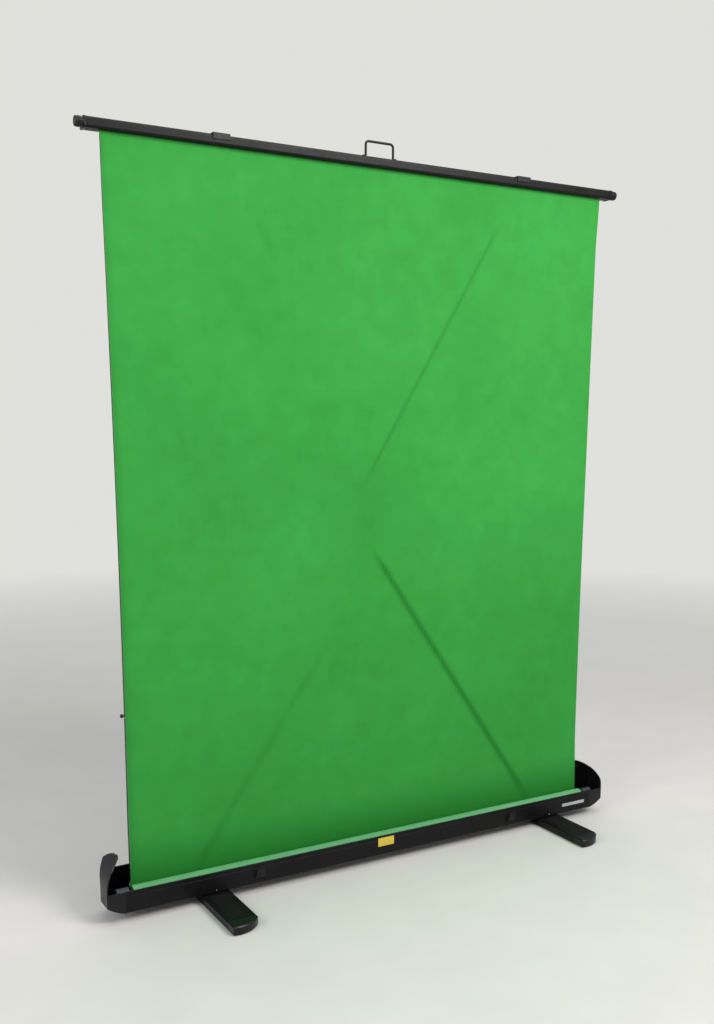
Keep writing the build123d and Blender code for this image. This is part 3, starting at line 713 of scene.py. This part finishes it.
@dataclass
class ScreenCloth:
    """The green sheet between the roll and the bar, with its side edges curled forward."""

    finishes: FinishShop
    columns: int = 168
    curl_columns: int = 8
    rows: int = 244
    thickness: float = 0.5 * MM
    neck_left: float = 6.5 * MM
    neck_right: float = 4.0 * MM
    curl_radius: float = 2.6 * MM
    set_back: float = 4.8 * MM
    crease_z: float = 1.0655
    marks: list[ArmMark] = field(init=False)

    def __post_init__(self) -> None:
        """Read the sheet's place from the frame."""
        self.low, self.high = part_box("screen_cloth")
        self.front_y = self.low.y
        self.half = self.high.x
        right_knee, left_knee = pivot("right_knee"), pivot("left_knee")
        self.marks = [
            ArmMark(pivot("fold"), right_knee, 2.6 * MM, 8 * MM, 0.95, (0.04, 0.88)),
            ArmMark(right_knee, pivot("bar_level"), 1.3 * MM, 5 * MM, 0.50, (0.10, 0.86)),
            ArmMark(pivot("left_fold"), left_knee, 0.8 * MM, 12 * MM, 0.20, (0.02, 0.62)),
            ArmMark(left_knee, middle("left_top_pin"), 0.4 * MM, 9 * MM, 0.16, (0.72, 0.86)),
        ]

    def heights(self) -> np.ndarray:
        """Return the rows' heights, closer together at both ends."""
        share = np.linspace(0.0, 1.0, self.rows)
        even = 0.7 * share + 0.3 * (0.5 - 0.5 * np.cos(math.pi * share))
        return self.low.z + even * (self.high.z - self.low.z)

    def neck(self, z: np.ndarray, depth: float) -> np.ndarray:
        """Return how far a side edge draws in at each height."""
        share = (z - self.low.z) / (self.high.z - self.low.z)
        return depth * np.sin(math.pi * np.clip(share, 0.0, 1.0)) ** 0.8

    def curl(self, z: np.ndarray, side: int) -> tuple[np.ndarray, np.ndarray]:
        """Return the curl's angle and the length of cloth beyond it, at each height of one side."""
        low_end = ease(z, self.low.z + 12 * MM, self.low.z + 30 * MM)
        top_end = 1.0 - ease(z, self.high.z - 12 * MM, self.high.z - 2 * MM)
        down = 1.0 - (z - self.low.z) / (self.high.z - self.low.z)
        angle, tail = (112.0, 1.4 * MM + 3.2 * MM * down) if side < 0 else (34.0, 0.6 * MM + 0.6 * MM * down)
        return np.radians(angle) * low_end * top_end, tail

    def bow(self, x: np.ndarray, z: np.ndarray) -> np.ndarray:
        """Return how far the cloth stands forward of its line: it is set back, waved, ridged and creased."""
        held = ease(z, self.low.z + 20 * MM, self.low.z + 200 * MM)
        held = held * (1 - ease(z, self.high.z - 160 * MM, self.high.z))
        waves = 1.1 * MM * np.sin(3.1 * x + 0.9 * z + 0.6) + 0.7 * MM * np.sin(7.3 * x - 1.7 * z)
        waves += 0.5 * MM * np.sin(5.1 * z + 1.9 * x) + 0.35 * MM * np.sin(13.0 * x + 2.6 * z + 1.0)
        forward = held * (waves - self.set_back)
        for mark in self.marks:
            off, along = mark.measure(x, z)
            sharp = np.exp(-np.abs(off / mark.width) ** 1.5)
            broad = np.exp(-((off / (5.0 * mark.width)) ** 2))
            forward += mark.rise * mark.strength(along) * (0.55 * sharp + 0.45 * broad) * held
        fold = (z - self.crease_z - 4 * MM * np.sin(2.2 * x)) / (5 * MM)
        across = ease(x, -0.66, -0.58) * (1 - ease(x, 0.30, 0.50))
        return forward + 0.45 * MM * np.exp(-(fold**2)) * across

    def pressed(self, x: np.ndarray, z: np.ndarray) -> np.ndarray:
        """Return the painted shade at each point, from 0 to 1: the arms' shadow lines, the knees' shadow, the
        shade near the roll and a darkening towards the lower left.
        """
        dark = np.zeros_like(x)
        for mark in self.marks:
            off, along = mark.measure(x, z)
            line = np.exp(-((off + 0.4 * mark.width) / mark.width) ** 2)
            dark = np.maximum(dark, mark.tone * mark.strength(along) * line)
        knees = (pivot("right_knee") + pivot("left_knee")) / 2
        # painted shadow of the knees: a soft dark patch about their middle
        knee_shadow = np.exp(-((x - knees.x + 0.03) / 0.085) ** 2 - ((z - knees.z) / 0.11) ** 2)
        # painted shade near the roll, where the cloth goes down behind it
        shade = 0.55 * (1 - ease(z, self.low.z + 30 * MM, self.low.z + 150 * MM))
        # painted shade: darker towards the lower left, away from the lights
        shade += 0.26 * (1 - ease(z - 0.25 * x, self.low.z, self.low.z + 0.95))
        return np.clip(np.maximum(dark, 0.22 * knee_shadow) + shade, 0.0, 1.0)

    def build(self) -> bpy.types.Object:
        """Build the sheet, dress it, and hang it between the case and the bar."""
        z = self.heights()[:, None]
        flat = self.half - self.curl_radius
        sides = {}
        for side, neck in ((-1, self.neck_left), (1, self.neck_right)):
            angle, tail = self.curl(z, side)
            step = np.linspace(0.0, 1.0, self.curl_columns)[None, :]
            bend = np.clip(step * 1.6, 0.0, 1.0) * angle
            beyond = np.clip((step - 0.625) / 0.375, 0.0, 1.0) * tail
            out = self.curl_radius * np.sin(bend) + beyond * np.cos(angle)
            slack = np.clip(step * 1.6, 0.0, 1.0) * self.curl_radius * (1 - angle / math.radians(112))
            forward = self.curl_radius * (1 - np.cos(bend)) + beyond * np.sin(angle)
            edge = flat - self.neck(z, neck)
            sides[side] = (side * (edge + np.maximum(out, slack)), forward, edge)
        share = np.linspace(-1.0, 1.0, self.columns)[None, :]
        x_flat = np.where(share < 0, -share * -sides[-1][2], share * sides[1][2])
        x = np.hstack([sides[-1][0][:, ::-1], x_flat[:, 1:-1], sides[1][0]])
        forward = np.hstack([sides[-1][1][:, ::-1], np.zeros_like(x_flat[:, 1:-1]), sides[1][1]])
        z = np.broadcast_to(z, x.shape)
        y = self.front_y - forward - self.bow(x, z)
        piece = new_piece("screen_sheet", np.stack([x, y, z], -1).reshape(-1, 3), grid_faces(*x.shape))
        self.map_cloth(piece, x, z)
        # painted shade, kept on the points for the green face's material
        mark = piece.data.attributes.new("pressed", "FLOAT", "POINT")
        mark.data.foreach_set("value", self.pressed(x, z).astype(np.float32).ravel())
        for name in ("green_cloth", "cloth_backing", "cloth_edge"):
            piece.data.materials.append(self.finishes[name])
        wall = piece.modifiers.new("cloth_thickness", "SOLIDIFY")
        wall.thickness, wall.offset = self.thickness, -1.0
        wall.material_offset, wall.material_offset_rim = 1, 2
        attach(piece, "case")
        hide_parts("screen_cloth")
        self.fold_with(piece)
        return piece

    @staticmethod
    def map_cloth(piece: bpy.types.Object, x: np.ndarray, z: np.ndarray) -> None:
        """Give the sheet a map in metres, measured along the cloth itself."""
        steps = np.abs(np.diff(x, axis=1))
        across = np.hstack([np.zeros((x.shape[0], 1)), np.cumsum(steps, axis=1)])
        places = np.stack([across, z], -1).reshape(-1, 2)
        write_map(piece, places)

    def fold_with(self, piece: bpy.types.Object) -> None:
        """Give a piece its own copy of its mesh."""
        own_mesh(piece)


@dataclass
class WoundRoll:
    """The cloth wound on the tube: one long spiral, whose turns show at its ends."""

    finishes: FinishShop
    turns: int = 5
    steps: int = 72
    slices: int = 30

    def build(self) -> bpy.types.Object:
        """Build the spiral as a thin closed strip, and put it on the roller."""
        low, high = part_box("cloth_roll")
        centre = (low + high) / 2
        tube_low, tube_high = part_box("roller_tube")
        outer, inner = (high.z - low.z) / 2, (tube_high.z - tube_low.z) / 2
        pitch = (outer - inner) / self.turns
        angle = np.linspace(0.0, 2 * math.pi * self.turns, self.turns * self.steps + 1)
        radius = outer - 0.02 * MM - (pitch * angle / (2 * math.pi)) * (1 - 0.3 / self.turns)
        both = (radius, radius - 0.72 * pitch)
        section = [np.stack([r * np.cos(angle), r * np.sin(angle)], 1) for r in both]
        loop = np.vstack([section[0], section[1][::-1]])
        x = np.linspace(low.x, high.x, self.slices)
        drift = 0.25 * MM * np.sin(2.3 * x / 0.3)
        points = [[(xi, centre.y - r * (1 - d / outer), centre.z + q * (1 - d / outer)) for r, q in loop]
                  for xi, d in zip(x, np.abs(drift))]
        faces = list(map(tuple, grid_faces(self.slices, len(loop), wrap=True)))
        half = len(section[0])
        for start in (0, (self.slices - 1) * len(loop)):
            for i in range(half - 1):
                j = 2 * half - 1 - i
                faces.append((start + i, start + i + 1, start + j - 1, start + j))
        piece = new_piece("wound_cloth", np.array(points).reshape(-1, 3), faces)
        shape = bmesh.new()
        shape.from_mesh(piece.data)
        bmesh.ops.recalc_face_normals(shape, faces=shape.faces)
        shape.to_mesh(piece.data)
        shape.free()
        piece.data.set_sharp_from_angle(angle=math.radians(50))
        # the roll's cloth is painted paler, as painted light from above
        piece.data.materials.append(self.finishes["rolled_cloth"])
        self.map_roll(piece, centre)
        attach(piece, "roller")
        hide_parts("cloth_roll")
        return piece

    @staticmethod
    def map_roll(piece: bpy.types.Object, centre: Vector) -> None:
        """Give the roll a map in metres: along it, and round it."""
        points = np.zeros(len(piece.data.vertices) * 3)
        piece.data.vertices.foreach_get("co", points)
        points = points.reshape(-1, 3)
        round_it = np.arctan2(points[:, 2] - centre.z, points[:, 1] - centre.y)
        radius = np.hypot(points[:, 2] - centre.z, points[:, 1] - centre.y)
        places = np.stack([points[:, 0], round_it * radius], 1)
        write_map(piece, places)


@dataclass
class Fittings:
    """The small repeated parts: screws, rivets, foot treads, hem stitches and the edge clip."""

    finishes: FinishShop
    sheet: ScreenCloth
    box: PartBox = field(default_factory=PartBox)

    SEAT: ClassVar[float] = 0.1 * MM
    SCREW_IN: ClassVar[float] = 7 * MM
    SCREW_UP: ClassVar[float] = 8 * MM
    FLOOR_SCREWS_Y: ClassVar[tuple[float, float]] = (-30 * MM, 33 * MM)
    RIVETS_IN: ClassVar[tuple[float, float]] = (44 * MM, 54 * MM)
    TREAD_START: ClassVar[float] = 12 * MM
    TREAD_STOP: ClassVar[float] = 14 * MM
    HEM_DOWN: ClassVar[float] = 6 * MM
    KNOB_OUT: ClassVar[float] = 3 * MM
    KNOB_Z: ClassVar[float] = 0.526

    def screws(self) -> bpy.types.Object:
        """Replace the case's plain screws by cross-headed ones."""
        low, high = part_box("case_trough")
        across = high.x - self.SCREW_IN
        shift = (low.y + high.y) / 2
        places, facings = [], []
        for side in ("left", "right"):
            foot = middle(f"{side}_foot")
            places.append(Vector((foot.x, low.y - self.SEAT, low.z + self.SCREW_UP)))
            facings.append(Vector((0, -1, 0)))
        for x in (-across, across):
            for y in self.FLOOR_SCREWS_Y:
                places.append(Vector((x, shift + y, low.z - self.SEAT)))
                facings.append(Vector((0, 0, -1)))
        piece = self.repeat("cross_screws", places, facings, self.box.cross_screw(), 1.7 * MM, "bright_steel")
        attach(piece, "case")
        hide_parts("case_screws")
        return piece

    def rivets(self) -> list[bpy.types.Object]:
        """Put two rivets at each end of every arm, on both faces."""
        dome = self.box.turned("rivet", [(0.9, -0.3), (1.0, 0.0), (0.94, 0.15), (0.7, 0.28), (0.3, 0.35)])
        chains = {
            "right_lower": (pivot("fold"), pivot("right_knee")),
            "right_upper": (pivot("right_knee"), pivot("bar_level")),
            "left_lower": (pivot("left_fold"), pivot("left_knee")),
            "left_upper": (pivot("left_knee"), middle("left_top_pin")),
        }
        made = []
        for body, (start, end) in chains.items():
            low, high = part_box(f"{body}_arm")
            run = Vector((end.x - start.x, 0, end.z - start.z))
            length, run = run.length, run.normalized()
            places, facings = [], []
            near, far = self.RIVETS_IN
            for reach in (near, far, length - far, length - near):
                for y, way in ((low.y, -1), (high.y, 1)):
                    places.append(Vector((start.x, y, start.z)) + run * reach)
                    facings.append(Vector((0, way, 0)))
            piece = self.repeat(f"{body}_rivets", places, facings, dome, 2.2 * MM, "bright_steel")
            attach(piece, body)
            made.append(piece)
        return made

    def treads(self) -> list[bpy.types.Object]:
        """Lay low grooved ribs across the front of each foot."""
        rib = self.slab("tread_rib", 2.2 * MM, 54 * MM, 0.4 * MM)
        made = []
        for side in ("left", "right"):
            low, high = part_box(f"{side}_foot")
            x, front = (low.x + high.x) / 2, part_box("case_trough")[0].y - self.TREAD_STOP
            ends = [Vector((x, y, high.z)) for y in (low.y + self.TREAD_START, front)]
            piece = self.row(f"{side}_foot_treads", ends, rib, 7 * MM, "black_rubber")
            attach(piece, f"{side}_foot_body")
            made.append(piece)
        return made

    def stitches(self) -> bpy.types.Object:
        """Sew the hem just under the bar."""
        low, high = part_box("screen_cloth")
        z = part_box("top_bar")[0].z - self.HEM_DOWN
        thread = self.slab("stitch", 3.4 * MM, 0.4 * MM, 0.4 * MM)
        ends = [Vector((x, low.y - self.SEAT, z)) for x in (low.x + self.HEM_DOWN, high.x - self.HEM_DOWN)]
        piece = self.row("hem_stitches", ends, thread, 5 * MM, "green_cloth")
        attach(piece, "bar")
        return piece

    def edge_clip(self) -> bpy.types.Object:
        """Clip a small black knob to the cloth's left edge."""
        low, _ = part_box("screen_cloth")
        knob = self.box.turned("edge_knob", [(0.8, -0.4), (1.0, 0.0), (0.95, 0.4), (0.7, 0.75), (0.3, 0.95)])
        place = Vector((low.x - self.KNOB_OUT, low.y - self.KNOB_OUT, self.KNOB_Z))
        piece = self.repeat("edge_clip", [place], [Vector((0, -1, 0))], knob, 5 * MM, "black_plastic")
        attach(piece, "case")
        self.sheet.fold_with(piece)
        return piece

    def repeat(self, name: str, places: Sequence[Vector], facings: Sequence[Vector], part: bpy.types.Object,
               size: float, finish: str) -> bpy.types.Object:
        """Put a part on every place, in one piece with one finish."""
        piece = bake_tree(guide_points(name, places, facings), RepeatTree.on_points(), {
            "Part": part, "Size": size, "Seed": len(places), "Finish": self.finishes[finish]})
        return piece

    def row(self, name: str, ends: Sequence[Vector], part: bpy.types.Object, pitch: float,
            finish: str) -> bpy.types.Object:
        """Put a part at every pitch between two ends, in one piece with one finish."""
        return bake_tree(guide_path(name, ends), RepeatTree.along_path(), {
            "Part": part, "Pitch": pitch, "Size": 1.0, "Finish": self.finishes[finish]})

    def slab(self, name: str, x: float, y: float, z: float) -> bpy.types.Object:
        """Return a small box of those sizes, which stands on Z = 0."""
        shape = bmesh.new()
        bmesh.ops.create_cube(shape, size=1.0)
        bmesh.ops.transform(shape, matrix=Matrix.Translation((0, 0, z / 2)) @ Matrix.Diagonal((x, y, z, 1)),
                            verts=shape.verts)
        return self.box.keep(name, shape)


# ---- light, floor and camera
@dataclass(frozen=True)
class Lamp:
    """One soft area light, aimed at a point."""

    name: str
    place: tuple[float, float, float]
    aim: tuple[float, float, float]
    size: float
    power: float
    colour: Colour = (1.0, 1.0, 1.0)

    def build(self) -> None:
        """Hang the light."""
        data = bpy.data.lights.new(self.name, "AREA")
        data.shape, data.size, data.energy, data.color = "DISK", self.size, self.power, self.colour
        lamp = bpy.data.objects.new(self.name, data)
        lamp.location = self.place
        lamp.rotation_euler = (Vector(self.aim) - Vector(self.place)).to_track_quat("-Z", "Y").to_euler()
        bpy.context.scene.collection.objects.link(lamp)


@dataclass
class Studio:
    """A plain pale floor, soft light and the camera."""

    SKY: ClassVar[Colour] = (0.90, 0.92, 0.94)
    WALL: ClassVar[Colour] = (0.745, 0.752, 0.716)

    eye: tuple[float, float, float] = (-1.526, -2.4925, 1.2404)
    heading: float = 30.12
    tilt: float = -11.05
    roll: float = 0.13
    lens: float = 37.77
    shift: float = 0.1163
    lamps: tuple[Lamp, ...] = (
        Lamp("key", (1.5, -2.9, 3.5), (0.2, 0.0, 1.5), 2.2, 150.0, (1.0, 0.985, 0.96)),
        Lamp("window", (-3.6, -0.9, 2.2), (-0.2, 0.0, 0.9), 2.4, 60.0, (0.93, 0.97, 1.0)),
        Lamp("overhead", (0.2, 0.3, 4.2), (0.0, 0.0, 0.0), 3.0, 50.0),
    )

    def build(self) -> None:
        """Build the floor, the lights, the sky and the camera."""
        self.lay_floor()
        for lamp in self.lamps:
            lamp.build()
        self.light_sky()
        self.set_camera()
        bpy.context.scene.view_settings.view_transform = "Standard"

    def lay_floor(self) -> None:
        """Lay a wide pale floor at the feet, which fades into the wall far away."""
        reach = 60.0
        corners = [(x * reach, y * reach, 0) for x, y in ((-1, -1), (1, -1), (1, 1), (-1, 1))]
        floor = new_piece("floor", corners, [(0, 1, 2, 3)], smooth=False)
        material = bpy.data.materials.new("pale_floor")
        material.use_nodes = True
        w = Wiring(material.node_tree)
        shader = material.node_tree.nodes["Principled BSDF"]
        tone = Mottle.use(w, Scale=0.8, Dark=(0.60, 0.585, 0.56), Light=(0.64, 0.625, 0.60))
        w.put(shader.inputs["Base Color"], tone["Colour"])
        w.put(shader.inputs["Roughness"], w.span(tone["Amount"], 0.0, 1.0, 0.55, 0.62))
        wall = w.add("ShaderNodeEmission", {"Color": self.WALL}).outputs[0]
        away = w.add("ShaderNodeVectorMath", {0: w.object_place()}, operation="LENGTH").outputs["Value"]
        share = w.span(away, 1.6, 6.5)
        blend = w.add("ShaderNodeMixShader", {0: share, 1: shader.outputs[0], 2: wall})
        w.put(material.node_tree.nodes["Material Output"].inputs["Surface"], blend.outputs[0])
        floor.data.materials.append(material)

    @staticmethod
    def light_sky() -> None:
        """Fill the room with even, slightly cool light, and show a plain wall to the camera."""
        world = bpy.data.worlds.new("room")
        world.use_nodes = True
        w = Wiring(world.node_tree)
        seen = w.add("ShaderNodeLightPath").outputs["Is Camera Ray"]
        sky = world.node_tree.nodes["Background"]
        w.put(sky.inputs["Color"], w.mix(seen, Studio.SKY, Studio.WALL))
        w.put(sky.inputs["Strength"], w.span(seen, 0.0, 1.0, 0.50, 1.0))
        bpy.context.scene.world = world

    def set_camera(self) -> None:
        """Stand the camera to the left of the cloth, a little below the bar's height."""
        data = bpy.data.cameras.new("viewer")
        data.lens, data.sensor_width, data.shift_y = self.lens, 36.0, self.shift
        camera = bpy.data.objects.new("viewer", data)
        turn = Matrix.Rotation(math.radians(-self.heading), 4, "Z")
        turn @= Matrix.Rotation(math.radians(90 + self.tilt), 4, "X")
        turn @= Matrix.Rotation(math.radians(self.roll), 4, "Z")
        camera.matrix_world = Matrix.Translation(self.eye) @ turn
        bpy.context.scene.collection.objects.link(camera)
        bpy.context.scene.camera = camera


def main() -> None:
    """Build every piece in order, and report each."""
    logging.basicConfig(level=logging.INFO, format="%(name)s: %(message)s")
    Studio().build()
    finishes = FinishShop()
    finishes.dress_cad()
    sheet = ScreenCloth(finishes)
    fittings = Fittings(finishes, sheet)
    builders = (
        sheet.build,
        WoundRoll(finishes).build,
        fittings.screws,
        fittings.rivets,
        fittings.treads,
        fittings.stitches,
        fittings.edge_clip,
    )
    for build in builders:
        made = build()
        for piece in made if isinstance(made, list) else [made]:
            LOG.info("%s: %d faces", piece.name, len(piece.data.polygons))


if __name__ == "__main__":
    main()
